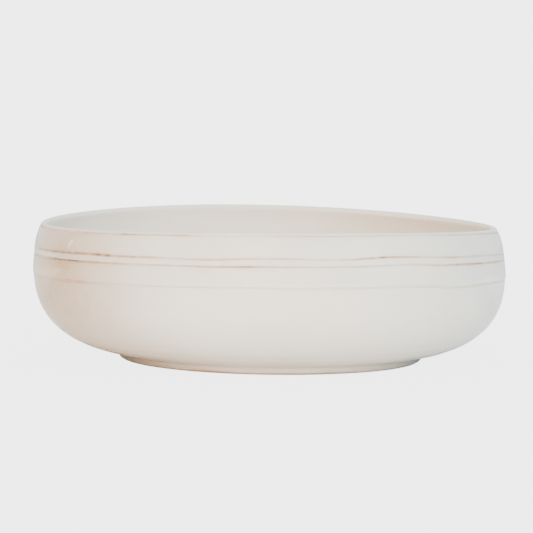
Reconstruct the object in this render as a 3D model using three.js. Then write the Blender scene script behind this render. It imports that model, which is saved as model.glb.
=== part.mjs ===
// A wide, low serving bowl in glazed stoneware: a thrown clay body on a luted foot ring, brown oxide
// lines round the lip and shoulder, and a cream glaze that is parted wherever a line shows.
// Millimetres, +Z up. The origin is the centre of the foot, on the surface that the bowl stands on.
import * as THREE from 'three';

// Outside of the bowl, measured over the glaze.
const BOWL_HEIGHT = 82;
const BELLY_DIAMETER = 280;
const BELLY_HEIGHT = 53.5;
const LIP_INSET = 6.5; // how far the crest of the lip lies inside the widest point
const LIP_LEAN = 30; // degrees that the wall leans in where the lip's rounding starts
const UNDERSIDE_RISE = 8; // degrees above level where the underside leaves the foot

// How full each stretch of the wall's curve is: handle length as a share of the stretch it shapes.
const UNDERSIDE_FULLNESS = 0.69;
const BELLY_FULLNESS = 0.56;
const SHOULDER_FULLNESS = 0.32;
const LIP_FULLNESS = 0.32;

// Foot ring, luted to the flat underside of the body.
const FOOT_HEIGHT = 4.5;
const FOOT_DIAMETER = 183; // at the crease under the belly
const FOOT_TAPER = 2.6; // how far the outside of the ring draws in on its way down
const FOOT_RING_WIDTH = 9;
const FOOT_INSIDE_TAPER = 1.5; // how far the inside of the ring opens on its way down
const FOOT_EDGE = 0.8; // bevel on both edges that meet the table
const BARE_FOOT = 1.4; // clay left bare above the table

// Layers of the wall, from the outside in.
const GLAZE = 0.6;
const CLAY_AT_FOOT = 6.4;
const CLAY_AT_LIP = 2.7;
const OXIDE = 0.3;
const SEAM = 0.05; // hairline that keeps neighbouring solids apart

// Oxide lines and the stretches of glaze between them, measured down the wall from the lip's rounding.
const CROWN_MARGIN = 0.2;
const LINE_WIDTH = 0.9;
const LIP_BAND = 11.9;
const RIDGE_BAND = 3.3;
const SHOULDER_BAND = 10.9;

// Facets: round the axis, and along each stretch of the profile.
const TURN_STEPS = 48;
const BELLY_STEPS = 9;
const BAND_STEPS = 3;
const INSIDE_STEPS = 11;
const LIP_STEPS = 6;

const stoneware = new THREE.MeshStandardMaterial({ color: 0xb9916a, roughness: 0.85, metalness: 0 });
const oxide = new THREE.MeshStandardMaterial({ color: 0x9a6f55, roughness: 0.6, metalness: 0 });
const creamGlaze = new THREE.MeshStandardMaterial({ color: 0xe6e0d8, roughness: 0.25, metalness: 0 });

const lipLean = THREE.MathUtils.degToRad(LIP_LEAN);
const underside = THREE.MathUtils.degToRad(UNDERSIDE_RISE);
const lipThickness = CLAY_AT_LIP + 2 * (GLAZE + SEAM);
const lipCentre = new THREE.Vector2(BELLY_DIAMETER / 2 - LIP_INSET, BOWL_HEIGHT - lipThickness / 2);

// The outside of the wall as one path in the (radius, height) plane: from the crease above the foot,
// round under the belly to the widest point, and up the shoulder to where the lip starts to round.
function wallPath() {
  const crease = new THREE.Vector2(FOOT_DIAMETER / 2, FOOT_HEIGHT);
  const widest = new THREE.Vector2(BELLY_DIAMETER / 2, BELLY_HEIGHT);
  const lip = lipCentre.clone();
  lip.x += Math.cos(lipLean) * lipThickness / 2;
  lip.y += Math.sin(lipLean) * lipThickness / 2;
  const run = UNDERSIDE_FULLNESS * (widest.x - crease.x);
  const rise = BELLY_FULLNESS * (widest.y - crease.y);
  const shoulder = SHOULDER_FULLNESS * (lip.y - widest.y);
  const reach = LIP_FULLNESS * (lip.y - widest.y);
  const path = new THREE.Path();
  path.moveTo(crease.x, crease.y);
  path.bezierCurveTo(
    crease.x + run * Math.cos(underside), crease.y + run * Math.sin(underside),
    widest.x, widest.y - rise,
    widest.x, widest.y,
  );
  path.bezierCurveTo(
    widest.x, widest.y + shoulder,
    lip.x + reach * Math.sin(lipLean), lip.y - reach * Math.cos(lipLean),
    lip.x, lip.y,
  );
  return path;
}

const wall = wallPath();

// Share of the wall's length that lies a distance down from the lip's rounding.
function shareDown(distance) {
  return 1 - distance / wall.getLength();
}

// Evenly spaced shares from one share of the wall's length to another, both included.
function shares(from, to, steps) {
  return Array.from({ length: steps + 1 }, (_, i) => from + (to - from) * i / steps);
}

// The point of the wall at a share of its length and a depth below its outside.
function below(share, depth) {
  const along = wall.getTangent(share);
  return wall.getPoint(share).add(new THREE.Vector2(-along.y, along.x).multiplyScalar(depth));
}

// Depth of the clay's inside face, because the wall thins from the foot to the lip.
function clayInside(share) {
  return GLAZE + SEAM + THREE.MathUtils.lerp(CLAY_AT_FOOT, CLAY_AT_LIP, share);
}

// Half-round over the top of the lip, at a depth below its outside, from the outer face to the inner one.
function overLip(depth) {
  const radius = lipThickness / 2 - depth;
  return Array.from({ length: LIP_STEPS - 1 }, (_, i) => {
    const turn = lipLean + Math.PI * (i + 1) / LIP_STEPS;
    return lipCentre.clone().add(new THREE.Vector2(Math.cos(turn), Math.sin(turn)).multiplyScalar(radius));
  });
}

// Lower and upper edge of a line, as shares, with its upper edge a distance down the wall.
function lineSpan(top) {
  return [shareDown(top + LINE_WIDTH), shareDown(top)];
}

const upperLineTop = CROWN_MARGIN + LINE_WIDTH + LIP_BAND;
const lowerLineTop = upperLineTop + LINE_WIDTH + RIDGE_BAND;
const shoulderLineTop = lowerLineTop + LINE_WIDTH + SHOULDER_BAND;
const rimLine = lineSpan(CROWN_MARGIN);
const upperLine = lineSpan(upperLineTop);
const lowerLine = lineSpan(lowerLineTop);
const shoulderLine = lineSpan(shoulderLineTop);

// The same stations serve the clay and every coat on it, so that their faces lie parallel.
const bellyShares = shares(0, shoulderLine[0], BELLY_STEPS);
const shoulderShares = shares(shoulderLine[1], lowerLine[0], BAND_STEPS);
const ridgeShares = shares(lowerLine[1], upperLine[0], 1);
const lipShares = shares(upperLine[1], rimLine[0], BAND_STEPS);
const crownShares = [rimLine[1], 1];
const outsideShares = [bellyShares, shoulderShares, ridgeShares, lipShares, crownShares].flat();
const insideShares = shares(1, 0, INSIDE_STEPS);

// A solid of revolution from a profile that starts and ends on the axis, or closes on itself.
function turned(name, profile, material) {
  const onAxis = profile[0].x === 0;
  const loop = onAxis ? profile : [...profile, profile[0]];
  const geometry = new THREE.LatheGeometry(loop, TURN_STEPS);
  geometry.rotateX(Math.PI / 2);
  const mesh = new THREE.Mesh(geometry, material);
  mesh.name = name;
  return mesh;
}

// A coat on the outside of the wall, from the first of its shares to the last.
function outerCoat(name, stations, outside, inside, material) {
  const outer = stations.map((share) => below(share, outside));
  const inner = stations.map((share) => below(share, inside));
  return turned(name, [...outer, ...inner.reverse()], material);
}

function glazeBand(name, stations) {
  return outerCoat(name, stations, 0, GLAZE, creamGlaze);
}

// A line lies on the clay in the slot between two stretches of glaze, lower than their surface.
function oxideLine(name, [low, high]) {
  const margin = SEAM / wall.getLength();
  return outerCoat(name, [low + margin, high - margin], GLAZE - OXIDE, GLAZE, oxide);
}

function clayBody() {
  const depth = GLAZE + SEAM;
  const outside = outsideShares.map((share) => below(share, depth));
  const inside = insideShares.map((share) => below(share, clayInside(share)));
  const seat = new THREE.Vector2(below(0, depth).x - SEAM, FOOT_HEIGHT);
  return turned('clay_body', [
    new THREE.Vector2(0, FOOT_HEIGHT),
    seat,
    ...outside,
    ...overLip(depth),
    ...inside,
    new THREE.Vector2(0, inside.at(-1).y),
  ], stoneware);
}

// The lining runs from the rim line over the lip, down the inside of the wall and across the floor.
function innerGlaze() {
  const face = insideShares.map((share) => below(share, clayInside(share) + SEAM + GLAZE));
  const back = insideShares.map((share) => below(share, clayInside(share) + SEAM));
  const crown = crownShares.map((share) => below(share, 0));
  const crownBack = crownShares.map((share) => below(share, GLAZE));
  return turned('inner_glaze', [
    new THREE.Vector2(0, back.at(-1).y),
    ...back.reverse(),
    ...overLip(GLAZE).reverse(),
    ...crownBack.reverse(),
    ...crown,
    ...overLip(0),
    ...face,
    new THREE.Vector2(0, face.at(-1).y),
  ], creamGlaze);
}

// Outside radius of the foot at a height, over the glaze.
function footRadius(height) {
  return FOOT_DIAMETER / 2 - FOOT_TAPER * (1 - height / FOOT_HEIGHT);
}

const footTop = FOOT_HEIGHT - SEAM;
const footBareRadius = footRadius(0) - GLAZE - SEAM;
const footInsideRadius = footBareRadius - FOOT_RING_WIDTH;

function footRing() {
  return turned('foot_ring', [
    new THREE.Vector2(footInsideRadius + FOOT_EDGE, 0),
    new THREE.Vector2(footBareRadius - FOOT_EDGE, 0),
    new THREE.Vector2(footBareRadius, FOOT_EDGE),
    new THREE.Vector2(footRadius(footTop) - GLAZE - SEAM, footTop),
    new THREE.Vector2(footInsideRadius - FOOT_INSIDE_TAPER, footTop),
    new THREE.Vector2(footInsideRadius, FOOT_EDGE),
  ], stoneware);
}

function footGlaze() {
  return turned('foot_glaze_band', [
    new THREE.Vector2(footRadius(BARE_FOOT) - GLAZE, BARE_FOOT),
    new THREE.Vector2(footRadius(BARE_FOOT), BARE_FOOT),
    new THREE.Vector2(footRadius(footTop), footTop),
    new THREE.Vector2(footRadius(footTop) - GLAZE, footTop),
  ], creamGlaze);
}

// A coat on the flat underside, inside the foot ring.
function baseGlaze() {
  const radius = footInsideRadius - FOOT_INSIDE_TAPER - SEAM;
  return turned('base_glaze', [
    new THREE.Vector2(0, footTop - GLAZE),
    new THREE.Vector2(radius, footTop - GLAZE),
    new THREE.Vector2(radius, footTop),
    new THREE.Vector2(0, footTop),
  ], creamGlaze);
}

const bowl = new THREE.Group();
bowl.name = 'serving_bowl';
bowl.add(
  clayBody(),
  footRing(),
  oxideLine('rim_oxide_line', rimLine),
  oxideLine('upper_oxide_line', upperLine),
  oxideLine('lower_oxide_line', lowerLine),
  oxideLine('shoulder_oxide_line', shoulderLine),
  innerGlaze(),
  glazeBand('lip_glaze_band', lipShares),
  glazeBand('ridge_glaze_band', ridgeShares),
  glazeBand('shoulder_glaze_band', shoulderShares),
  glazeBand('belly_glaze', bellyShares),
  footGlaze(),
  baseGlaze(),
);

export default bowl;
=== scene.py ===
"""A wide, low serving bowl in cream-glazed stoneware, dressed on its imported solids.

Each piece is a section in the (radius, height) plane carried once round the bowl's axis, so its mesh is a
grid: rows follow the section and columns go round. Every section is taken from one curve, the outside of
the wall, and from depths below it, as the layers of clay, oxide and glaze lie on the real bowl.
"""

import math

import bpy
import numpy as np
from mathutils import Matrix, Vector


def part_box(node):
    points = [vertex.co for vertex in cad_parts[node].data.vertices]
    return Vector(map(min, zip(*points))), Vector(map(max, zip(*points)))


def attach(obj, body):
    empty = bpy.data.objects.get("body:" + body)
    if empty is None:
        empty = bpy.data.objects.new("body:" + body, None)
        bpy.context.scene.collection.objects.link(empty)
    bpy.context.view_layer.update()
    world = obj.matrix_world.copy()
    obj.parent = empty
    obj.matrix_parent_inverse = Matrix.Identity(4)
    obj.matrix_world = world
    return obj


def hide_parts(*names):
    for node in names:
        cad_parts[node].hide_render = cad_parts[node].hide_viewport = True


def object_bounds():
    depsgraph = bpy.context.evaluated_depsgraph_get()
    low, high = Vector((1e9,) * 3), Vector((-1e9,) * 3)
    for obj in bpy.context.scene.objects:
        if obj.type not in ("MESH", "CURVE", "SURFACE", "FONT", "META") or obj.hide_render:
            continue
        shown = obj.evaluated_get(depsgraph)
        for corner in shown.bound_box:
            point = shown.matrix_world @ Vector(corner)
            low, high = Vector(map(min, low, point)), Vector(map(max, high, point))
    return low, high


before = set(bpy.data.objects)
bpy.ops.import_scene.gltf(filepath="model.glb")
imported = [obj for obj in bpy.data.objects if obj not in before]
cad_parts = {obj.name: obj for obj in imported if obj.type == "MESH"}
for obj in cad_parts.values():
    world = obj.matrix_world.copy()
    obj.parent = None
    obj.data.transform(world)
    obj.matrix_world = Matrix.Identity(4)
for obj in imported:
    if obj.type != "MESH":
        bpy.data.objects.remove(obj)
cad_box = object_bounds()

bl_info = {
    "name": "Serving Bowl",
    "version": (1, 0, 0),
    "blender": (4, 5, 0),
    "location": "View3D > Sidebar > Bowl",
    "description": "Dresses a stoneware serving bowl: clay, oxide lines, glaze and a plain studio",
    "category": "Add Mesh",
}

MM = 0.001
BODY = "root"
SEAM = 0.05 * MM  # hairline between neighbouring layers
CURVE_STEPS = 900  # samples on each of the wall's two curves
OUTSIDE_TURNS = 720  # columns round the outside
INSIDE_TURNS = 512  # columns round the lining, which has more rows
PHOTO_WIDTH = 533  # pixels across the square frame that the camera was matched in
SENSOR_WIDTH = 36  # millimetres

# How each line was brushed on: a base strength of brown, spots as (degrees round from the front towards
# +X, spread in degrees, strength added there), and sways as (degrees, spread, height above level).
OXIDE_LINES = {
    "rim_oxide_line": {
        "seed": 11,
        "base": 0.42,
        "spots": (
            (-60, 8, -0.16), (-50, 6, 0.06), (-36, 5, 0.26), (-23, 5, 0.24), (-8, 9, -0.2),
            (18, 7, -0.08), (33, 4, 0.3), (150, 40, 0.2),
        ),
        "sways": ((-48, 8, -0.25 * MM), (-21, 9, 0.4 * MM)),
    },
    "upper_oxide_line": {
        "seed": 23,
        "base": 0.36,
        "spots": (
            (-61, 10, 0.5), (-45, 6, 0.34), (-41, 4, 0.28), (-34, 6, 0.2), (-23, 4, -0.14),
            (-14, 4, 0.18), (5, 3, 0.06), (14, 6, -0.14), (26, 7, 0.34), (42, 2.5, -0.12),
            (47, 3, 0.26), (63, 8, -0.14), (160, 40, 0.3),
        ),
        "sways": (
            (-46, 7, 0.4 * MM), (-27, 7, 0.3 * MM), (-12, 8, -0.35 * MM), (16, 8, -0.55 * MM),
            (27, 6, 0.4 * MM),
        ),
    },
    "lower_oxide_line": {
        "seed": 37,
        "base": 0.42,
        "spots": (
            (-67, 6, -0.35), (-57, 10, 0.85), (-38, 4, 0.06), (-32, 5, -0.1), (-18, 7, 0.04),
            (-6, 5, 0.1), (32, 3.5, -0.26), (48, 5, 0.28), (59, 6, 0.32), (68, 5, 0.1),
            (190, 40, 0.3),
        ),
        "sways": ((-21, 9, 0.45 * MM), (10, 16, -0.32 * MM), (42, 5, -0.45 * MM)),
    },
    "shoulder_oxide_line": {
        "seed": 53,
        "base": 0.13,
        "spots": (
            (-58, 5, 0.35), (-50, 5, 0.42), (-42, 6, 0.1), (-36, 5, -0.04), (-24, 4, -0.04),
            (-16, 4, 0.05), (20, 3, -0.06), (60, 14, 0.05), (170, 40, 0.2),
        ),
        "sways": ((-34, 12, 0.3 * MM), (-13, 9, 0.4 * MM), (10, 14, -0.35 * MM), (49, 13, -1.1 * MM)),
    },
}

# How the lines rise together above level: sways as above.
LINE_SWAY = ((-52, 16, 0.35 * MM), (-17, 10, -0.5 * MM), (35, 9, 0.75 * MM), (84, 14, -0.6 * MM))

# Painted warm shade on the left of the foot and the lowest belly, carried as thin glaze: spots as above.
FOOT_PAINTED_WARM_SHADE = ((-60, 34, 0.6),)

# Where the fire toasted the bare foot: spots as above.
FIRE_MARKS = ((-27, 20, 0.55), (4, 24, 0.4), (140, 50, 0.6))

# Painted grey shade on both ends of the foot: spots as above.
FOOT_PAINTED_SHADE = ((-88, 32, 0.8), (90, 36, 0.8))

# Painted warm shade on the left side, carried as thin glaze, as spots on each stretch of glaze that it
# crosses.
PAINTED_WARM_SHADE = {
    "lip_glaze_band": ((-61, 19, 0.68),),
    "ridge_glaze_band": ((-61, 19, 0.25),),
    "shoulder_glaze_band": ((-61, 20, 0.95), (-86, 10, 0.25)),
    "belly_glaze": ((-60, 25, 0.84), (-84, 13, 0.72)),
}

# The same painted warm shade on the lining, inside the wall.
LINING_PAINTED_WARM_SHADE = ((140, 24, 0.32),)

# Each stretch of glaze on the wall, by the lines that bound it above and below.
GLAZE_BANDS = {
    "lip_glaze_band": ("rim_oxide_line", "upper_oxide_line"),
    "ridge_glaze_band": ("upper_oxide_line", "lower_oxide_line"),
    "shoulder_glaze_band": ("lower_oxide_line", "shoulder_oxide_line"),
    "belly_glaze": ("shoulder_oxide_line", None),
}


def linear(hex_colour):
    """Linear RGB of an sRGB hex colour, by the sRGB transfer curve."""
    channels = np.array([int(hex_colour[i:i + 2], 16) for i in (0, 2, 4)]) / 255
    return tuple(np.where(channels <= 0.04045, channels / 12.92, ((channels + 0.055) / 1.055) ** 2.4))


def length(name, description, default):
    """A length property in metres."""
    return bpy.props.FloatProperty(
        name=name, description=description, default=default, subtype="DISTANCE", unit="LENGTH", precision=5
    )


def angle(name, description, degrees):
    """An angle property, given in degrees."""
    return bpy.props.FloatProperty(
        name=name, description=description, default=math.radians(degrees), subtype="ANGLE", unit="ROTATION"
    )


def brightness(name, description, default):
    """A brightness property, with no upper end."""
    return bpy.props.FloatProperty(name=name, description=description, default=default, min=0)


def share(name, description, default):
    """A property from 0 to 1."""
    return bpy.props.FloatProperty(
        name=name, description=description, default=default, min=0, max=1, subtype="FACTOR"
    )


def colour(name, description, hex_colour):
    """A colour property, given as sRGB hex."""
    return bpy.props.FloatVectorProperty(
        name=name, description=description, default=linear(hex_colour), min=0, max=1, subtype="COLOR"
    )


class BowlSizes(bpy.types.PropertyGroup):
    """Sizes of the bowl, over the glaze unless they say otherwise."""

    bowl_height: length("Height", "From the table to the crest of the lip", cad_box[1].z)
    belly_radius: length("Belly radius", "From the axis to the widest point", cad_box[1].x)
    belly_height: length("Belly height", "From the table to the widest point", 53.5 * MM)
    lip_inset: length("Lip inset", "How far the crest of the lip lies inside the widest point", 6.5 * MM)
    lip_lean: angle("Lip lean", "How far the wall leans in where the lip starts to round", 30)
    underside_rise: angle("Underside rise", "Slope of the underside where it leaves the foot", 8)
    underside_fullness: share("Underside fullness", "Curve handle as a share of the overhang", 0.69)
    belly_fullness: share("Belly fullness", "Curve handle as a share of the belly's rise", 0.56)
    shoulder_fullness: share("Shoulder fullness", "Curve handles as a share of the shoulder's rise", 0.32)
    foot_height: length("Foot height", "From the table to the underside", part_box("clay_body")[0].z)
    foot_radius: length("Foot radius", "At the crease under the belly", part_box("foot_glaze_band")[1].x)
    foot_taper: length("Foot taper", "How far the foot draws in on its way down", 2.6 * MM)
    foot_width: length("Foot width", "Width of the clay ring at the table", 9 * MM)
    foot_inside_taper: length("Foot inside taper", "How far the ring's inside opens downwards", 1.5 * MM)
    foot_edge: length("Foot edge", "Rounding of the edges that meet the table", 0.5 * MM)
    crease: length("Crease", "Depth of the crease under the belly, at the sides", 0.5 * MM)
    bare_foot: length("Bare foot", "Clay left bare above the table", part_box("foot_glaze_band")[0].z)
    clay_at_foot: length("Clay at foot", "Thickness of the clay wall at the foot", 6.4 * MM)
    clay_at_lip: length("Clay at lip", "Thickness of the clay wall at the lip", 2.7 * MM)
    glaze: length("Glaze", "Thickness of a coat of glaze", 0.6 * MM)
    glaze_roll: length("Glaze roll", "Stretch over which the edge of a coat rounds down", 0.7 * MM)
    line_width: length("Line width", "Width of an oxide line along the wall", 0.9 * MM)
    oxide: length("Oxide", "Thickness of the solid that each line replaces", 0.3 * MM)
    line_depth: length("Line depth", "How far a bold line lies below the glaze", 0.14 * MM)
    line_wander: length("Line wander", "How far each line strays by itself", 0.1 * MM)
    shoulder_swell: length("Shoulder swell", "How far the shoulder stands out above its line", 0.45 * MM)
    throwing_rings: length("Throwing rings", "Height of the rings left by throwing", 0.05 * MM)
    saddle: length("Saddle", "How far firing raised the front and back and lowered the sides", 1.72 * MM)
    saddle_skew: length("Saddle skew", "The same across the diagonals", 0.67 * MM)
    rim_shift: length("Rim shift", "How far the rim stands towards -X from over the foot", 1.79 * MM)


class BowlFinish(bpy.types.PropertyGroup):
    """Colours of the bowl's surfaces."""

    glaze: colour("Glaze", "Cream glaze where it lies thick", "EFE6DA")
    glaze_warm: colour("Warm glaze", "Cream glaze in its warmer clouds", "EADFD1")
    # Also the colour of the painted warm shade on the left side and the foot.
    glaze_thin_and_warm_shade: colour("Thin glaze", "Glaze where it is thin over the clay", "CCA57F")
    # Painted shade that greys and darkens the foot's ends and its crease at the sides.
    glaze_painted_shade: colour("Shaded glaze", "Glaze greyed by smoke on the foot and in its crease", "7F8474")
    oxide_faint: colour("Faint line", "Oxide line where the glaze has run over it", "E9DBCA")
    oxide_tan: colour("Tan line", "Oxide line where it is lightly brushed", "CFA783")
    oxide_brown: colour("Brown line", "Oxide line where it is boldest", "53423C")
    clay: colour("Clay", "Bare fired clay, buff-grey", "C2B09B")
    clay_toasted: colour("Toasted clay", "Bare clay where the fire has caught it", "C68C58")


class BowlStage(bpy.types.PropertyGroup):
    """Camera, floor and lights."""

    backdrop: colour("Backdrop", "Floor and background as the camera sees them", "FFFFFF")
    backdrop_light: brightness("Backdrop light", "Brightness of the backdrop, shown as a pale grey", 4.41)
    floor: colour("Floor", "Floor as the bowl sees it", "F5F5F4")
    shadow: share("Shadow", "How much of the floor's own light and shade the camera sees", 0.07)
    room_left: colour("Room, left", "Light of the room on the left", "AC8A48")
    room_right: colour("Room, right", "Light of the room on the right", "7AD4FC")
    room_light: brightness("Room light", "Brightness of the room", 1.87)
    sweep: colour("Sweep", "Pale sweep behind the bowl, as the glaze reflects it", "FFFFFF")
    sweep_light: brightness("Sweep light", "Brightness of the sweep in the glaze", 1.8)
    sweep_reach: angle("Sweep reach", "How far the sweep goes round to each side of the back", 56)
    sweep_edge: angle("Sweep edge", "How softly the sweep ends", 2.5)
    sheet_reach: angle("Sheet reach", "How far the white sheet on the floor goes round", 65)
    table: colour("Table", "Lit table and sheet, as the glaze reflects them", "FFEED8")
    table_light: brightness("Table light", "Brightness of the lit table and sheet in the glaze", 2.9)
    floor_glow: share("Floor glow", "Light that the floor gives the bowl from below", 0.12)
    camera_distance: length("Camera distance", "Along -Y from the axis", 1700 * MM)
    camera_height: length("Camera height", "Above the table", 190.05 * MM)
    camera_pitch: angle("Camera pitch", "Below level", 4.5535)
    camera_yaw: angle("Camera yaw", "Turned towards -X", 0.0985)
    camera_roll: angle("Camera roll", "Turned anticlockwise", 0.8107)
    focal_pixels: bpy.props.FloatProperty(
        name="Focal length", description="In pixels of the square frame", default=2862, subtype="PIXEL"
    )


class Wall:
    """The outside of the wall, by distance down from where the lip starts to round.

    Two cubic Bezier curves in the (radius, height) plane, from the lip down the shoulder to the widest
    point, and from there round the belly to the crease above the foot. Distances are sums of chords.
    """

    def __init__(self, sizes):
        self.sizes = sizes
        self.lip_radius = sizes.clay_at_lip / 2 + sizes.glaze + SEAM
        self.lip_centre = np.array(
            (sizes.belly_radius - sizes.lip_inset, sizes.bowl_height - self.lip_radius)
        )
        lean = np.array((math.cos(sizes.lip_lean), math.sin(sizes.lip_lean)))
        lip = self.lip_centre + self.lip_radius * lean
        widest = np.array((sizes.belly_radius, sizes.belly_height))
        crease = np.array((sizes.foot_radius, sizes.foot_height))
        up = np.array((0.0, 1.0))
        handle = sizes.shoulder_fullness * (lip[1] - widest[1])
        down_lip = np.array((lean[1], -lean[0]))
        rise = np.array((math.cos(sizes.underside_rise), math.sin(sizes.underside_rise)))
        run = sizes.underside_fullness * (widest[0] - crease[0])
        drop = sizes.belly_fullness * (widest[1] - crease[1])
        shoulder = cubic(lip, lip + handle * down_lip, widest + handle * up, widest)
        belly = cubic(widest, widest - drop * up, crease + run * rise, crease)
        self.points = np.concatenate((shoulder, belly[1:]))
        chords = np.linalg.norm(np.diff(self.points, axis=0), axis=1)
        self.distance = np.concatenate(((0.0,), np.cumsum(chords)))
        along = np.gradient(self.points, self.distance, axis=0)
        self.normal = np.stack((-along[:, 1], along[:, 0]), axis=1)
        self.length = self.distance[-1]
        self.lines = {name: self.line_centre(name) for name in OXIDE_LINES}

    def at(self, distance, depth):
        """Radius and height at a distance down the wall and a depth below its outside."""
        columns = (*self.points.T, *self.normal.T)
        radius, height, out, up = (np.interp(distance, self.distance, column) for column in columns)
        return radius - depth * out, height - depth * up

    def line_centre(self, name):
        """Distance down the wall to the middle of an oxide line's solid."""
        low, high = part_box(name)
        depth = self.sizes.glaze - self.sizes.oxide / 2
        heights = self.points[:, 1] - depth * self.normal[:, 1]
        return np.interp(-(low.z + high.z) / 2, -heights, self.distance)

    def relief(self, distance, turn):
        """How far the thrown surface stands out from the plain curve.

        A swell grows down the shoulder and steps back across the line under it. Low rings climb by one
        spacing a turn, their height wandering round the bowl.
        """
        sizes = self.sizes
        step = self.lines["shoulder_oxide_line"]
        top = self.lines["lower_oxide_line"]
        grow = smooth(distance, top, step - 2 * MM)
        stop = 1 - smooth(distance, step - sizes.line_width, step + sizes.line_width)
        ring = 9 * MM
        phase = 2 * np.pi * distance / ring + turn
        rings = np.sin(phase) * (0.6 + 0.4 * np.sin(0.37 * phase + 2 * turn))
        fade = smooth(distance, self.lines["rim_oxide_line"], top)
        return sizes.shoulder_swell * grow * stop + sizes.throwing_rings * rings * fade

    def outside(self, distance, depth, turn):
        """Radius and height of a layer on the thrown outside of the wall."""
        return self.at(distance, depth - self.relief(distance, turn))

    def clay_inside(self, distance):
        """Depth of the clay's inside face, as the wall thins from the foot to the lip."""
        sizes = self.sizes
        clay = sizes.clay_at_lip + (sizes.clay_at_foot - sizes.clay_at_lip) * distance / self.length
        return sizes.glaze + SEAM + clay

    def over_lip(self, depth, steps):
        """Half-round over the top of the lip at a depth below its outside, from outer to inner face."""
        lean = self.sizes.lip_lean + np.linspace(0, np.pi, steps)
        reach = self.lip_radius - depth
        return self.lip_centre[0] + reach * np.cos(lean), self.lip_centre[1] + reach * np.sin(lean)

    def line_edges(self, name, turn):
        """Distances down the wall to a line's upper and lower edge, straying a little round the bowl."""
        line = OXIDE_LINES[name]
        stray = self.sizes.line_wander * wander(turn, line["seed"], 12)
        centre = self.lines[name] + stray - bells(turn, LINE_SWAY + line["sways"])
        uneven = 0.16 * wander(turn, line["seed"] + 1, 40)
        bolder = 0.35 * smooth(brushed(name, turn), 0.45, 0.9)
        half = self.sizes.line_width / 2 * (1 + (uneven + bolder))
        return centre - half, centre + half

    def line_below_glaze(self, name, turn):
        """How far a line lies below the glaze beside it, less where the glaze has run over it."""
        return self.sizes.line_depth * (0.3 + 0.7 * smooth(brushed(name, turn), 0.1, 0.6))


def cubic(start, leave, arrive, end):
    """Cubic Bezier curve: four points weighted by the Bernstein polynomials of an even parameter."""
    t = np.linspace(0, 1, CURVE_STEPS)[:, None]
    s = 1 - t
    return s ** 3 * start + 3 * s * s * t * leave + 3 * s * t * t * arrive + t ** 3 * end


def smooth(value, low, high):
    """Smoothstep: 0 below low, 1 above high, and 3t^2 - 2t^3 between."""
    t = np.clip((value - low) / (high - low), 0, 1)
    return t * t * (3 - 2 * t)


def wander(turn, seed, waves):
    """A seeded curve of mean square 1 that closes on itself: cosines of 1 to so many waves a turn."""
    draw = np.random.default_rng(seed)
    count = np.arange(1, waves + 1)
    size = draw.uniform(0.3, 1, waves) / np.sqrt(count)
    size *= math.sqrt(2) / np.linalg.norm(size)
    phase = draw.uniform(0, 2 * np.pi, waves)
    return np.tensordot(size, np.cos(count[:, None] * turn[None, :] + phase[:, None]), 1)


def bells(turn, spots):
    """Sum of bell curves round the bowl, each given by its angle and spread in degrees and its height."""
    total = np.zeros_like(turn)
    for centre, spread, amount in spots:
        away = (turn - math.radians(centre) + np.pi) % (2 * np.pi) - np.pi
        total += amount * np.exp(-((away / math.radians(spread)) ** 2))
    return total


def painted_shade_reach(wall, distance):
    """Share of the painted warm shade that shows down the wall: all to the belly, none by the foot."""
    fading, gone = 60 * MM, 24 * MM
    return 1 - smooth(distance, wall.length - fading, wall.length - gone)


def brushed(name, turn):
    """How strongly a line's brown shows round the bowl: its base, bells at its spots, and streaks."""
    line = OXIDE_LINES[name]
    strength = line["base"] + bells(turn, line["spots"])
    streaks = wander(turn, line["seed"] + 2, 160)
    return np.clip(strength * (1 + 0.15 * streaks), 0, 1)


def rolled(edge, roll):
    """Share of a coat's thickness lost at a distance from its edge, as a quarter round."""
    return 1 - np.sqrt(1 - np.clip(1 - edge / roll, 0, 1) ** 2)


def packed_to_ends(steps):
    """Numbers from 0 to 1 that lie closer together towards both ends."""
    t = np.linspace(0, 1, steps)
    return 0.25 * t + 0.75 * (1 - np.cos(np.pi * t)) / 2


def round_turns(count):
    """Angles once round the bowl, from the front towards +X."""
    return np.arange(count) * 2 * np.pi / count


def wide(column, turn):
    """A column of values along a section, repeated round the bowl."""
    return np.repeat(np.asarray(column, float)[:, None], len(turn), axis=1)


def fired(sizes, points):
    """The warp of firing: the rim leans, and heights gain a cosine of twice the angle above the foot."""
    turn = np.arctan2(points[:, 0], -points[:, 1])
    held, free = 8 * MM, 58 * MM
    hold = smooth(points[:, 2], held, free)
    lift = sizes.saddle * np.cos(2 * turn) + sizes.saddle_skew * np.sin(2 * turn)
    points[:, 0] -= sizes.rim_shift * points[:, 2] / sizes.bowl_height
    points[:, 2] += hold * lift
    return points


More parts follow.
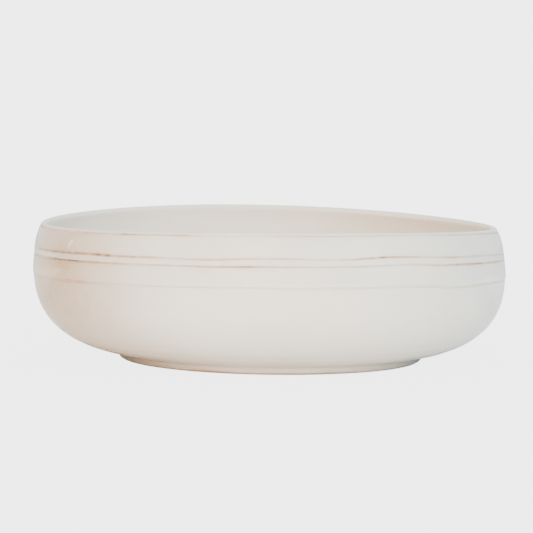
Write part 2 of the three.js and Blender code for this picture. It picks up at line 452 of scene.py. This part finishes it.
def turned(context, name, section, turn, poles=None, values=None):
    """A closed surface of revolution from a section's radius and height, each rows by columns.

    The section runs up the outside and down the inside. It closes on itself, or, where poles gives two
    heights, its first and last rows close on the axis there. values holds numbers for each point.
    """
    radius, height = section
    rows, columns = radius.shape
    points = np.stack((radius * np.sin(turn), -radius * np.cos(turn), height), axis=-1).reshape(-1, 3)
    here = np.arange(rows * columns).reshape(rows, columns)
    upper = np.roll(here, -1, axis=0)
    corners = np.stack((here, np.roll(here, -1, 1), np.roll(upper, -1, 1), upper), axis=-1)
    corners = (corners if poles is None else corners[:-1]).reshape(-1)
    starts = np.arange(0, len(corners), 4)
    if poles is not None:
        bottom, top = rows * columns, rows * columns + 1
        points = np.concatenate((points, [(0, 0, poles[0]), (0, 0, poles[1])]))
        first, last = here[0], here[-1]
        low_fan = np.stack((np.full(columns, bottom), np.roll(first, -1), first), axis=-1)
        high_fan = np.stack((last, np.roll(last, -1), np.full(columns, top)), axis=-1)
        fans = np.concatenate((low_fan, high_fan)).reshape(-1)
        starts = np.concatenate((starts, len(corners) + np.arange(0, len(fans), 3)))
        corners = np.concatenate((corners, fans))
    points = fired(context.scene.bowl_sizes, points)
    mesh = bpy.data.meshes.new(name)
    mesh.vertices.add(len(points))
    mesh.vertices.foreach_set("co", points.astype(np.float32).ravel())
    mesh.loops.add(len(corners))
    mesh.loops.foreach_set("vertex_index", corners.astype(np.int32))
    mesh.polygons.add(len(starts))
    mesh.polygons.foreach_set("loop_start", starts.astype(np.int32))
    mesh.update(calc_edges=True)
    mesh.shade_smooth()
    for key, grid in (values or {}).items():
        spare = () if poles is None else (grid[0].mean(), grid[-1].mean())
        attribute = mesh.attributes.new(key, "FLOAT", "POINT")
        attribute.data.foreach_set("value", np.concatenate((grid.reshape(-1), spare)).astype(np.float32))
    if mesh.validate():
        raise RuntimeError(f"the mesh of {name} had faults")
    piece = bpy.data.objects.new(name + "_surface", mesh)
    context.scene.collection.objects.link(piece)
    return piece


def seat(piece, node, material):
    """Puts a piece in place of its solid, on the body that carries it, in its finish."""
    piece.data.materials.append(material)
    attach(piece, BODY)
    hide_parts(node)


def joined(*parts):
    """Several stretches of one section, each a radius and a height, end to end."""
    return tuple(np.concatenate(column) for column in zip(*parts))


def add_node(tree, kind, inputs=None, **settings):
    """Adds a shader node, named by its kind, with its settings.

    An input given as a socket is linked to it, one given as a node to that node's first live output, and
    any other is the input's value.
    """
    made = tree.nodes.new("ShaderNode" + kind)
    for key, value in settings.items():
        setattr(made, key, value)
    for key, value in (inputs or {}).items():
        if isinstance(value, bpy.types.Node):
            value = next(socket for socket in value.outputs if socket.enabled)
        if isinstance(value, bpy.types.NodeSocket):
            tree.links.new(value, made.inputs[key])
        else:
            made.inputs[key].default_value = value
    return made


def opaque(rgb):
    """A colour with full alpha."""
    return (*rgb, 1.0)


def new_material(name):
    """A material with an empty node tree."""
    material = bpy.data.materials.new(name)
    material.use_nodes = True
    material.node_tree.nodes.clear()
    return material


def glaze_material(finish):
    """Cream glaze, dipped and fired on stoneware.

    The eye sees an even off-white skin with a satin gloss, faint warm clouds where the coat varies, and a
    buff tone where it thins out beside the lines and towards the foot. The buff tone also paints warm
    shade on the left side, and a painted grey shade darkens the ends of the foot and its crease.
    """
    name = "cream glaze dipped on stoneware"
    if name in bpy.data.materials:
        return bpy.data.materials[name]
    material = new_material(name)
    tree = material.node_tree
    place = add_node(tree, "TexCoord").outputs["Object"]
    cloud_size, mottle_size, peel_size = 55 * MM, 7 * MM, 3.2 * MM
    clouds = add_node(
        tree, "TexNoise", {"Vector": place, "Scale": 1 / cloud_size, "Detail": 3.0, "Roughness": 0.55}
    )
    cloud_share = add_node(tree, "MapRange", {"Value": clouds, "From Min": 0.38, "From Max": 0.66})
    even = add_node(
        tree,
        "Mix",
        {"Factor": cloud_share, "A": opaque(finish.glaze), "B": opaque(finish.glaze_warm)},
        data_type="RGBA",
    )
    mottle = add_node(
        tree, "TexNoise", {"Vector": place, "Scale": 1 / mottle_size, "Detail": 4.0, "Roughness": 0.6}
    )
    # The thin attribute holds thin glaze and painted warm shade, both mixed towards the buff colour.
    thin = add_node(tree, "Attribute", attribute_name="thin")
    uneven = add_node(
        tree,
        "MapRange",
        {"Value": mottle, "From Min": 0.3, "From Max": 0.7, "To Min": 0.82, "To Max": 1.0},
    )
    thin_and_warm_shade = add_node(tree, "Math", {0: thin.outputs["Fac"], 1: uneven}, operation="MULTIPLY")
    coloured = add_node(
        tree, "Mix", {"Factor": thin_and_warm_shade, "A": even, "B": opaque(finish.glaze_thin_and_warm_shade)}, data_type="RGBA"
    )
    # Painted shade greys and darkens the foot's ends and its crease at the sides.
    painted_shade = add_node(tree, "Attribute", attribute_name="painted_shade")
    with_painted_shade = add_node(
        tree,
        "Mix",
        {"Factor": painted_shade.outputs["Fac"], "A": coloured, "B": opaque(finish.glaze_painted_shade)},
        data_type="RGBA",
    )
    gloss = add_node(
        tree,
        "MapRange",
        {"Value": mottle, "From Min": 0.3, "From Max": 0.7, "To Min": 0.07, "To Max": 0.12},
    )
    peel = add_node(tree, "TexNoise", {"Vector": place, "Scale": 1 / peel_size, "Detail": 2.0})
    surface = add_node(tree, "Bump", {"Height": peel, "Strength": 0.25, "Distance": 0.02 * MM})
    shader = add_node(
        tree, "BsdfPrincipled", {"Base Color": with_painted_shade, "Roughness": gloss, "Normal": surface, "IOR": 1.5}
    )
    add_node(tree, "OutputMaterial", {"Surface": shader})
    return material


def oxide_material(finish):
    """Brown iron oxide, brushed on thin and fired under the edge of the glaze.

    The eye sees a broken line that goes from peach through tan to a reddish brown, in streaks along it.
    """
    name = "iron oxide wash brushed on clay"
    if name in bpy.data.materials:
        return bpy.data.materials[name]
    material = new_material(name)
    tree = material.node_tree
    place = add_node(tree, "TexCoord").outputs["Object"]
    streak_length, streak_width, grain_size = 5 * MM, 0.5 * MM, 0.8 * MM
    along = add_node(
        tree,
        "Mapping",
        {"Vector": place, "Scale": (1 / streak_length, 1 / streak_length, 1 / streak_width)},
    )
    streaks = add_node(tree, "TexNoise", {"Vector": along, "Scale": 1.0, "Detail": 3.0})
    broken = add_node(
        tree,
        "MapRange",
        {"Value": streaks, "From Min": 0.3, "From Max": 0.7, "To Min": 0.75, "To Max": 1.2},
    )
    brown = add_node(tree, "Attribute", attribute_name="brown")
    strength = add_node(tree, "Math", {0: brown.outputs["Fac"], 1: broken}, operation="MULTIPLY")
    to_tan = add_node(tree, "MapRange", {"Value": strength, "From Min": 0.05, "From Max": 0.5})
    to_brown = add_node(tree, "MapRange", {"Value": strength, "From Min": 0.5, "From Max": 1.1})
    light = add_node(
        tree,
        "Mix",
        {"Factor": to_tan, "A": opaque(finish.oxide_faint), "B": opaque(finish.oxide_tan)},
        data_type="RGBA",
    )
    dark = add_node(
        tree, "Mix", {"Factor": to_brown, "A": light, "B": opaque(finish.oxide_brown)}, data_type="RGBA"
    )
    grain = add_node(tree, "TexNoise", {"Vector": place, "Scale": 1 / grain_size, "Detail": 2.0})
    surface = add_node(tree, "Bump", {"Height": grain, "Strength": 0.4, "Distance": 0.05 * MM})
    shader = add_node(
        tree, "BsdfPrincipled", {"Base Color": dark, "Roughness": 0.42, "Normal": surface, "IOR": 1.5}
    )
    add_node(tree, "OutputMaterial", {"Surface": shader})
    return material


def clay_material(finish):
    """Bare stoneware clay, turned and fired.

    The eye sees a dry buff body with fine grit, browner and more orange where the fire caught it.
    """
    name = "bare stoneware turned and fired"
    if name in bpy.data.materials:
        return bpy.data.materials[name]
    material = new_material(name)
    tree = material.node_tree
    place = add_node(tree, "TexCoord").outputs["Object"]
    toast_size, grit_size = 18 * MM, 0.7 * MM
    toast = add_node(tree, "TexNoise", {"Vector": place, "Scale": 1 / toast_size, "Detail": 4.0})
    patches = add_node(
        tree,
        "MapRange",
        {"Value": toast, "From Min": 0.35, "From Max": 0.65, "To Min": 0.5, "To Max": 1.1},
    )
    caught = add_node(tree, "Attribute", attribute_name="toast")
    toasted = add_node(tree, "Math", {0: caught.outputs["Fac"], 1: patches}, operation="MULTIPLY")
    body = add_node(
        tree,
        "Mix",
        {"Factor": toasted, "A": opaque(finish.clay), "B": opaque(finish.clay_toasted)},
        data_type="RGBA",
    )
    grit = add_node(tree, "TexNoise", {"Vector": place, "Scale": 1 / grit_size, "Detail": 3.0})
    surface = add_node(tree, "Bump", {"Height": grit, "Strength": 0.6, "Distance": 0.12 * MM})
    shader = add_node(
        tree, "BsdfPrincipled", {"Base Color": body, "Roughness": 0.85, "Normal": surface, "IOR": 1.5}
    )
    add_node(tree, "OutputMaterial", {"Surface": shader})
    return material


def floor_material(stage):
    """White paper laid out on a table, matt.

    The camera sees the backdrop's even tone, with a trace of shade close to the bowl. The bowl gets the
    paper's own light and shade, and its glaze mirrors the lit table in front and the sheet behind.
    """
    material = new_material("pale matt studio floor")
    tree = material.node_tree
    # Distances from the axis, in metres, over which each of these comes in.
    flat_from, flat_at = 0.12, 0.4
    lit_from, lit_at = 0.095, 0.13
    clear_from, clear_at = 0.145, 0.175
    far_from, far_at = 0.2, 0.8
    # Cosines of the angle from straight back.
    front_from, front_at, dim_at = -0.5, -0.85, 0.95
    sheet_from, sheet_at = math.cos(stage.sheet_reach), math.cos(stage.sheet_reach - stage.sweep_edge)
    path = add_node(tree, "LightPath")
    place = add_node(tree, "TexCoord").outputs["Object"]
    away = add_node(tree, "VectorMath", {0: place}, operation="LENGTH")
    flatness = add_node(
        tree,
        "MapRange",
        {"Value": away, "From Min": flat_from, "From Max": flat_at, "To Min": 1 - stage.shadow},
        interpolation_type="SMOOTHSTEP",
    )
    seen = add_node(tree, "Math", {0: path.outputs["Is Camera Ray"], 1: flatness}, operation="MULTIPLY")
    diffuse = add_node(tree, "BsdfDiffuse", {"Color": opaque(stage.floor)})
    lit = add_node(
        tree,
        "MapRange",
        {"Value": away, "From Min": lit_from, "From Max": lit_at, "To Max": stage.floor_glow},
    )
    heading = add_node(tree, "VectorMath", {0: place}, operation="NORMALIZE")
    back = add_node(tree, "VectorMath", {0: heading, 1: (0, 1, 0)}, operation="DOT_PRODUCT")
    in_front = add_node(tree, "MapRange", {"Value": back, "From Min": front_from, "From Max": front_at})
    on_sheet = add_node(tree, "MapRange", {"Value": back, "From Min": sheet_from, "From Max": sheet_at})
    dimmer = add_node(
        tree,
        "MapRange",
        {"Value": back, "From Min": sheet_from, "From Max": dim_at, "To Min": 1.0, "To Max": 0.0},
    )
    far = add_node(tree, "MapRange", {"Value": away, "From Min": far_from, "From Max": far_at})
    far_sheet = add_node(tree, "Math", {0: on_sheet, 1: far}, operation="MULTIPLY")
    behind = add_node(tree, "Math", {0: far_sheet, 1: dimmer}, operation="MULTIPLY")
    clear = add_node(tree, "MapRange", {"Value": away, "From Min": clear_from, "From Max": clear_at})
    table = add_node(tree, "Math", {0: in_front, 1: clear, 2: behind}, operation="MULTIPLY_ADD")
    mirrored = add_node(
        tree, "Math", {0: path.outputs["Is Glossy Ray"], 1: stage.table_light}, operation="MULTIPLY"
    )
    bright = add_node(tree, "Math", {0: table, 1: mirrored, 2: lit}, operation="MULTIPLY_ADD")
    glow = add_node(tree, "Emission", {"Color": opaque(stage.table), "Strength": bright})
    matt = add_node(tree, "AddShader", {0: diffuse, 1: glow})
    flat = add_node(
        tree, "Emission", {"Color": opaque(stage.backdrop), "Strength": stage.backdrop_light}
    )
    mixed = add_node(tree, "MixShader", {0: seen, 1: matt, 2: flat})
    add_node(tree, "OutputMaterial", {"Surface": mixed})
    return material


def floor_dip(wall, radius, edge_radius):
    """How far the inside floor lies below its edge, so that it runs on from the wall without a kink."""
    power = 8
    dip = edge_radius * math.tan(wall.sizes.underside_rise) / power
    return dip * (1 - (radius / edge_radius) ** power)


def inside_section(wall, depth, turn, steps, floor_steps):
    """The inside of the wall at a depth below the clay's inside face, then the floor to near the axis.

    Both carry the low rings of throwing, sines that climb by one spacing a turn.
    """
    distance = np.linspace(0, wall.length, steps)
    radius, height = wall.at(distance, wall.clay_inside(distance) + depth)
    ring, wall_rings, floor_rings = 10 * MM, 0.07 * MM, 0.09 * MM
    phase = 2 * np.pi * distance[:, None] / ring - turn[None, :]
    rings = wall_rings * np.sin(phase) * smooth(distance, 6 * MM, 25 * MM)[:, None]
    wall_part = (wide(radius, turn) - rings, wide(height, turn))
    edge_radius, edge_height = radius[-1], height[-1]
    across = np.linspace(1, 0, floor_steps + 1)[1:-1] * edge_radius
    floor_height = edge_height - floor_dip(wall, across, edge_radius)
    spiral = 2 * np.pi * across[:, None] / ring - turn[None, :]
    ripple = floor_rings * np.sin(spiral) * smooth(across, 2 * MM, 16 * MM)[:, None]
    floor_part = (wide(across, turn), wide(floor_height, turn) + ripple)
    centre = edge_height - floor_dip(wall, 0.0, edge_radius)
    return joined(wall_part, floor_part), centre


def foot_radius(sizes, height):
    """Outside radius of the foot over its glaze, which draws in faster towards the table."""
    return sizes.foot_radius - sizes.foot_taper * (1 - height / sizes.foot_height) ** 1.3


class BOWL_OT_clay(bpy.types.Operator):
    """Makes the thrown clay body and the foot ring that it stands on"""

    bl_idname = "bowl.clay"
    bl_label = "Clay body and foot ring"

    def execute(self, context):
        wall = Wall(context.scene.bowl_sizes)
        material = clay_material(context.scene.bowl_finish)
        seat(self.body(context, wall), "clay_body", material)
        seat(self.foot(context, wall), "foot_ring", material)
        return {"FINISHED"}

    def body(self, context, wall):
        """Flat underside, the wall's outside under its glaze, the lip, the inside and the floor."""
        sizes = wall.sizes
        turn = round_turns(INSIDE_TURNS)
        depth = sizes.glaze + SEAM
        under_rows, outside_rows, lip_rows, inside_rows, floor_rows = 6, 72, 14, 60, 30
        distance = np.linspace(wall.length - SEAM, 0, outside_rows)
        outer = wall.outside(wide(distance, turn), depth, turn)
        under = np.linspace(0.2, 1, under_rows) * (sizes.foot_radius - SEAM)
        underside = (wide(under, turn), wide(np.full(under_rows, sizes.foot_height), turn))
        lip = tuple(wide(column[1:-1], turn) for column in wall.over_lip(depth, lip_rows))
        inner, centre = inside_section(wall, 0.0, turn, inside_rows, floor_rows)
        section = joined(underside, outer, lip, inner)
        return turned(context, "clay_body", section, turn, (sizes.foot_height, centre))

    def foot(self, context, wall):
        """A low ring whose outside draws in as it goes down, with both edges at the table rounded."""
        sizes = wall.sizes
        turn = round_turns(OUTSIDE_TURNS)
        bare = sizes.foot_radius - sizes.foot_taper - sizes.glaze - SEAM
        inside = bare - sizes.foot_width
        edge = sizes.foot_edge
        top = sizes.foot_height - SEAM
        corner_rows, side_rows = 8, 12
        corner = np.linspace(-np.pi / 2, 0, corner_rows)
        rise = np.linspace(edge, top, side_rows)
        outer_edge = (bare - edge + edge * np.cos(corner), edge + edge * np.sin(corner))
        outer = (foot_radius(sizes, rise) - sizes.glaze - SEAM, rise)
        inner = (inside - sizes.foot_inside_taper * smooth(rise[::-1], edge, top), rise[::-1])
        inner_edge = (inside + edge - edge * np.cos(corner[::-1]), edge + edge * np.sin(corner[::-1]))
        radius, height = joined(outer_edge, outer, inner, inner_edge)
        all_over = 0.15
        toast = np.repeat(all_over + bells(turn, FIRE_MARKS)[None, :], len(radius), axis=0)
        section = (wide(radius, turn), wide(height, turn))
        return turned(context, "foot_ring", section, turn, values={"toast": toast})


class BOWL_OT_lines(bpy.types.Operator):
    """Makes the brown oxide lines in the slots between the stretches of glaze"""

    bl_idname = "bowl.lines"
    bl_label = "Oxide lines"

    def execute(self, context):
        wall = Wall(context.scene.bowl_sizes)
        material = oxide_material(context.scene.bowl_finish)
        for name in OXIDE_LINES:
            seat(self.line(context, wall, name), name, material)
        return {"FINISHED"}

    def line(self, context, wall, name):
        """A low strip on the clay, nearly flush where glaze has run over it, less brown at its edges."""
        sizes = wall.sizes
        turn = round_turns(2 * OUTSIDE_TURNS)
        upper, lower = wall.line_edges(name, turn)
        rows, edge_fade = 9, 0.45
        across = np.linspace(1, 0, rows)[:, None]
        outer = upper + SEAM + (lower - upper - 2 * SEAM) * across
        strength = brushed(name, turn)
        face = wall.outside(outer, wall.line_below_glaze(name, turn), turn)
        back = wall.outside(outer[::-1], sizes.glaze, turn)
        bold = strength * (1 - edge_fade * (2 * across - 1) ** 2)
        values = {"brown": np.concatenate((bold, bold[::-1]))}
        return turned(context, name, joined(face, back), turn, values=values)


class BOWL_OT_outer_glaze(bpy.types.Operator):
    """Makes the stretches of glaze on the outside of the wall, parted by the oxide lines"""

    bl_idname = "bowl.outer_glaze"
    bl_label = "Outer glaze"

    def execute(self, context):
        wall = Wall(context.scene.bowl_sizes)
        material = glaze_material(context.scene.bowl_finish)
        for name, (above, below) in GLAZE_BANDS.items():
            seat(self.band(context, wall, name, above, below), name, material)
        return {"FINISHED"}

    def band(self, context, wall, name, above, below):
        """A coat whose edges round down to the lines beside it and turn warm there, with painted warm
        shade on the left side.
        """
        sizes = wall.sizes
        turn = round_turns(OUTSIDE_TURNS)
        upper = wall.line_edges(above, turn)[1]
        lower = wall.line_edges(below, turn)[0] if below else np.full_like(turn, wall.length)
        rows, back_step = (30, 3) if below else (90, 2)
        outer = upper + (lower - upper) * packed_to_ends(rows)[::-1, None]
        from_above = outer - upper
        loss = wall.line_below_glaze(above, turn) * rolled(from_above, sizes.glaze_roll)
        if below:
            from_below = lower - outer
            loss = loss + wall.line_below_glaze(below, turn) * rolled(from_below, sizes.glaze_roll)
        face = wall.outside(outer, loss, turn)
        inner = np.concatenate((outer[::-back_step][:-1], outer[:1]))
        back = wall.outside(inner, np.full_like(inner, sizes.glaze), turn)
        warmth, fade = 0.5, 0.8 * MM
        thin = warmth * brushed(above, turn) * np.exp(-from_above / fade)
        if below:
            thin = thin + warmth * brushed(below, turn) * np.exp(-from_below / fade)
        else:
            all_over, starts, full = 0.14, wall.length - 55 * MM, wall.length - 8 * MM
            # Thin glaze towards the foot all round, and painted warm shade on the left of it.
            thin = thin + (all_over + bells(turn, FOOT_PAINTED_WARM_SHADE)) * smooth(outer, starts, full)
        # Painted warm shade on the left side, carried in the thin attribute.
        thin = thin + bells(turn, PAINTED_WARM_SHADE[name]) * painted_shade_reach(wall, outer)
        values = {"thin": np.concatenate((np.clip(thin, 0, 1), np.zeros_like(inner)))}
        return turned(context, name, joined(face, back), turn, values=values)


class BOWL_OT_inner_glaze(bpy.types.Operator):
    """Makes the lining: glaze from the rim line over the lip, down the inside and across the floor"""

    bl_idname = "bowl.inner_glaze"
    bl_label = "Inner glaze"

    def execute(self, context):
        wall = Wall(context.scene.bowl_sizes)
        material = glaze_material(context.scene.bowl_finish)
        seat(self.lining(context, wall), "inner_glaze", material)
        return {"FINISHED"}

    def lining(self, context, wall):
        """The clay's inside face and lip, once under the coat and once over it."""
        sizes = wall.sizes
        turn = round_turns(INSIDE_TURNS)
        start = wall.line_edges("rim_oxide_line", turn)[0]
        crown_rows, lip_rows, wall_rows, floor_rows = 4, 20, 64, 42
        lip_back_rows, wall_back_rows, floor_back_rows = 12, 30, 12
        crown = start * np.linspace(1, 0, crown_rows)[:, None]
        lip_angle = np.linspace(0, np.pi, lip_rows)
        from_edge = np.concatenate((start - crown, start + wall.lip_radius * lip_angle[1:-1, None]))
        loss = wall.line_below_glaze("rim_oxide_line", turn) * rolled(from_edge, sizes.glaze_roll)
        crown_face = wall.outside(crown, loss[:crown_rows], turn)
        lean = sizes.lip_lean + lip_angle[1:-1, None]
        reach = wall.lip_radius - loss[crown_rows:]
        lip_face = (wall.lip_centre[0] + reach * np.cos(lean), wall.lip_centre[1] + reach * np.sin(lean))
        face, centre = inside_section(wall, SEAM + sizes.glaze, turn, wall_rows, floor_rows)
        back, back_centre = inside_section(wall, SEAM, turn, wall_back_rows, floor_back_rows)
        back = tuple(column[::-1] for column in back)
        over = wall.over_lip(sizes.glaze, lip_back_rows)
        lip_back = tuple(wide(column[1:-1][::-1], turn) for column in over)
        under = wall.outside(crown[::-1], np.full_like(crown, sizes.glaze), turn)
        section = joined(back, lip_back, under, crown_face, lip_face, face)
        thin = np.zeros_like(section[0])
        first = len(back[0]) + len(lip_back[0]) + len(under[0])
        inside = first + len(from_edge)
        edge_warmth, edge_fade, lip_warmth = 0.2, 0.5 * MM, 0.16
        thin[first:inside] = edge_warmth * np.exp(-from_edge / edge_fade)
        below_lip = np.linspace(0, wall.length, wall_rows)
        creamy = smooth(below_lip, -1 * MM, 2 * MM) * (1 - smooth(below_lip, 3 * MM, 14 * MM))
        # Painted warm shade on the upper inside at the back right.
        lining_warm_shade = bells(turn, LINING_PAINTED_WARM_SHADE) * (1 - smooth(below_lip, 35 * MM, 90 * MM))[:, None]
        thin[inside:inside + wall_rows] = lip_warmth * creamy[:, None] + lining_warm_shade
        return turned(context, "inner_glaze", section, turn, (back_centre, centre), {"thin": thin})


class BOWL_OT_foot_glaze(bpy.types.Operator):
    """Makes the glaze on the outside of the foot and on the underside within it"""

    bl_idname = "bowl.foot_glaze"
    bl_label = "Foot and base glaze"

    def execute(self, context):
        wall = Wall(context.scene.bowl_sizes)
        material = glaze_material(context.scene.bowl_finish)
        seat(self.band(context, wall), "foot_glaze_band", material)
        seat(self.base(context, wall), "base_glaze", material)
        return {"FINISHED"}

    def band(self, context, wall):
        """A coat on the tapered foot, thinning to buff, whose wiped lower edge wavers and rounds off, with
        painted warm shade on its left and painted grey shade at both ends and in the crease at the sides.
        """
        sizes = wall.sizes
        turn = round_turns(OUTSIDE_TURNS)
        side = np.sin(turn) ** 2
        edge_share, waver, lower_at_sides = 0.75, 0.16, 0.6
        wiped = sizes.bare_foot * (edge_share + waver * wander(turn, 71, 24)) * (1 - lower_at_sides * side)
        top = sizes.foot_height - SEAM
        rows, crease_roll, most_lost = 16, 1.2 * MM, 0.95
        up = wiped + (top - wiped) * packed_to_ends(rows)[:, None]
        notch = sizes.crease * (0.1 + 0.9 * side) * rolled(top - up, crease_roll)
        loss = sizes.glaze * rolled(up - wiped, sizes.glaze_roll) + notch
        loss = np.minimum(loss, most_lost * sizes.glaze)
        face = (foot_radius(sizes, up) - loss, up)
        back = (foot_radius(sizes, up[::-1]) - sizes.glaze, up[::-1])
        all_over, wiped_warmth, wiped_fade = 0.09, 0.25, 0.7 * MM
        # Thin glaze all round and by the wiped edge, and painted warm shade on the left of the foot.
        thin = all_over + bells(turn, FOOT_PAINTED_WARM_SHADE) + wiped_warmth * np.exp(-(up - wiped) / wiped_fade)
        # Painted grey shade at both ends of the foot and in the crease at the sides, where less light
        # reaches.
        crease_painted_shade, crease_fade, most_painted_shade = 0.7, 0.5 * MM, 0.95
        painted_shade = bells(turn, FOOT_PAINTED_SHADE) + crease_painted_shade * side * np.exp((up - top) / crease_fade)
        painted_shade = np.clip(painted_shade, 0, most_painted_shade)
        grids = {"thin": thin, "painted_shade": painted_shade}
        values = {key: np.concatenate((grid, grid[::-1])) for key, grid in grids.items()}
        return turned(context, "foot_glaze_band", joined(face, back), turn, values=values)

    def base(self, context, wall):
        """A thin disc of glaze under the body, its rim rounded up to the clay inside the foot ring."""
        sizes = wall.sizes
        turn = round_turns(INSIDE_TURNS)
        low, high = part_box("base_glaze")
        rim = high.x
        rows, warm_rim = 40, 0.3
        across = rim * packed_to_ends(rows)[1:]
        loss = (high.z - low.z) * rolled(rim - across, 1.5 * sizes.glaze_roll)
        ring, ring_height = 8 * MM, 0.05 * MM
        ripple = ring_height * np.sin(2 * np.pi * across[:, None] / ring + turn[None, :])
        ends = smooth(across, 2 * MM, 14 * MM) * smooth(rim - across, 0, 4 * MM)
        ripple = ripple * ends[:, None]
        face = (wide(across, turn), wide(low.z + loss, turn) + ripple)
        inner = across[::-4]
        back = (wide(inner, turn), np.full((len(inner), len(turn)), high.z))
        thin = warm_rim * wide(1 - smooth(rim - across, 0, 6 * MM), turn)
        values = {"thin": np.concatenate((thin, np.zeros_like(back[0])))}
        return turned(context, "base_glaze", joined(face, back), turn, (low.z, high.z), values)


class BOWL_OT_stage(bpy.types.Operator):
    """Makes the camera, a plain pale floor, the room's light and soft studio lights"""

    bl_idname = "bowl.stage"
    bl_label = "Stage"

    def execute(self, context):
        stage = context.scene.bowl_stage
        context.scene.view_settings.view_transform = "AgX"
        self.camera(context, stage)
        self.floor(context, stage)
        self.room(context, stage)
        self.lights(context)
        return {"FINISHED"}

    def camera(self, context, stage):
        """A long lens at the height of a seated viewer, turned as the bowl was photographed."""
        data = bpy.data.cameras.new("camera")
        data.sensor_width = SENSOR_WIDTH
        data.lens = stage.focal_pixels / PHOTO_WIDTH * SENSOR_WIDTH
        camera = bpy.data.objects.new("camera", data)
        place = Matrix.Translation((0, -stage.camera_distance, stage.camera_height))
        yaw = Matrix.Rotation(stage.camera_yaw, 4, "Z")
        pitch = Matrix.Rotation(math.pi / 2 - stage.camera_pitch, 4, "X")
        roll = Matrix.Rotation(stage.camera_roll, 4, "Z")
        camera.matrix_world = place @ yaw @ pitch @ roll
        context.scene.collection.objects.link(camera)
        context.scene.camera = camera

    def floor(self, context, stage):
        """A wide flat disc under the bowl."""
        reach, edge_points = 6.0, 96
        turn = round_turns(edge_points)
        points = np.stack((reach * np.sin(turn), -reach * np.cos(turn), np.zeros_like(turn)), axis=-1)
        mesh = bpy.data.meshes.new("floor")
        mesh.from_pydata(points.tolist(), [], [list(range(len(turn)))])
        mesh.materials.append(floor_material(stage))
        floor = bpy.data.objects.new("floor", mesh)
        context.scene.collection.objects.link(floor)

    def room(self, context, stage):
        """An even background for the camera, and for the rest the room's light and the sweep behind."""
        world = bpy.data.worlds.new("studio")
        world.use_nodes = True
        world.node_tree.nodes.clear()
        tree = world.node_tree
        ray = add_node(tree, "LightPath").outputs["Is Camera Ray"]
        heading = add_node(tree, "TexCoord").outputs["Generated"]
        level = add_node(tree, "VectorMath", {0: heading, 1: (1, 1, 0)}, operation="MULTIPLY")
        level = add_node(tree, "VectorMath", {0: level}, operation="NORMALIZE")
        behind = add_node(tree, "VectorMath", {0: level, 1: (0, 1, 0)}, operation="DOT_PRODUCT")
        inside = add_node(
            tree,
            "MapRange",
            {
                "Value": behind,
                "From Min": math.cos(stage.sweep_reach),
                "From Max": math.cos(stage.sweep_reach - stage.sweep_edge),
            },
        )
        sides = add_node(tree, "SeparateXYZ", {"Vector": heading})
        across = add_node(tree, "MapRange", {"Value": sides.outputs["X"], "From Min": -1.0})
        walls = add_node(
            tree,
            "Mix",
            {"Factor": across, "A": opaque(stage.room_left), "B": opaque(stage.room_right)},
            data_type="RGBA",
        )
        room = add_node(tree, "Background", {"Color": walls, "Strength": stage.room_light})
        sweep = add_node(
            tree, "Background", {"Color": opaque(stage.sweep), "Strength": stage.sweep_light}
        )
        light = add_node(tree, "MixShader", {0: inside, 1: room, 2: sweep})
        seen = add_node(
            tree, "Background", {"Color": opaque(stage.backdrop), "Strength": stage.backdrop_light}
        )
        mixed = add_node(tree, "MixShader", {0: ray, 1: light, 2: seen})
        add_node(tree, "OutputWorld", {"Surface": mixed})
        context.scene.world = world

    def lights(self, context):
        """Soft panels: one overhead and a strip, which the glaze mirrors, and a broad one in front."""
        # Name, place, width and height, tint and watts of each.
        panels = (
            ("front", (0.0, -2.6, 0.8), (2.6, 1.4), "FFF4EA", 167),
            ("overhead", (0.0, 0.2, 1.9), (0.8, 0.8), "FFF2E4", 12),
            ("strip", (-1.83, 0.74, 0.44), (0.04, 0.22), "FFFFFF", 0.42),
        )
        target = Vector((0, 0, 0.04))
        for name, place, size, tint, watts in panels:
            data = bpy.data.lights.new(name, "AREA")
            data.shape = "RECTANGLE"
            data.size, data.size_y = size
            data.color = linear(tint)
            data.energy = watts
            light = bpy.data.objects.new(name, data)
            light.location = place
            light.rotation_euler = (target - light.location).to_track_quat("-Z", "Y").to_euler()
            light.visible_glossy = name != "front"
            context.scene.collection.objects.link(light)


class BOWL_PT_panel(bpy.types.Panel):
    """Lists the steps that make the bowl, and its sizes and colours"""

    bl_idname = "BOWL_PT_panel"
    bl_label = "Serving Bowl"
    bl_space_type = "VIEW_3D"
    bl_region_type = "UI"
    bl_category = "Bowl"

    def draw(self, context):
        for operator in OPERATORS:
            self.layout.operator(operator.bl_idname)
        for group in (context.scene.bowl_sizes, context.scene.bowl_finish, context.scene.bowl_stage):
            box = self.layout.box()
            for key in group.__annotations__:
                box.prop(group, key)


OPERATORS = (
    BOWL_OT_clay,
    BOWL_OT_lines,
    BOWL_OT_outer_glaze,
    BOWL_OT_inner_glaze,
    BOWL_OT_foot_glaze,
    BOWL_OT_stage,
)
GROUPS = {"bowl_sizes": BowlSizes, "bowl_finish": BowlFinish, "bowl_stage": BowlStage}


def register():
    """Registers the classes and hangs the property groups on the scene."""
    for group in GROUPS.values():
        bpy.utils.register_class(group)
    for key, group in GROUPS.items():
        setattr(bpy.types.Scene, key, bpy.props.PointerProperty(type=group))
    for operator in OPERATORS:
        bpy.utils.register_class(operator)
    bpy.utils.register_class(BOWL_PT_panel)


def unregister():
    """Takes away what register added."""
    bpy.utils.unregister_class(BOWL_PT_panel)
    for operator in reversed(OPERATORS):
        bpy.utils.unregister_class(operator)
    for key, group in GROUPS.items():
        delattr(bpy.types.Scene, key)
        bpy.utils.unregister_class(group)


def main():
    """Builds the bowl and its stage."""
    register()
    bpy.ops.bowl.clay()
    bpy.ops.bowl.lines()
    bpy.ops.bowl.outer_glaze()
    bpy.ops.bowl.inner_glaze()
    bpy.ops.bowl.foot_glaze()
    bpy.ops.bowl.stage()


if __name__ == "__main__":
    main()
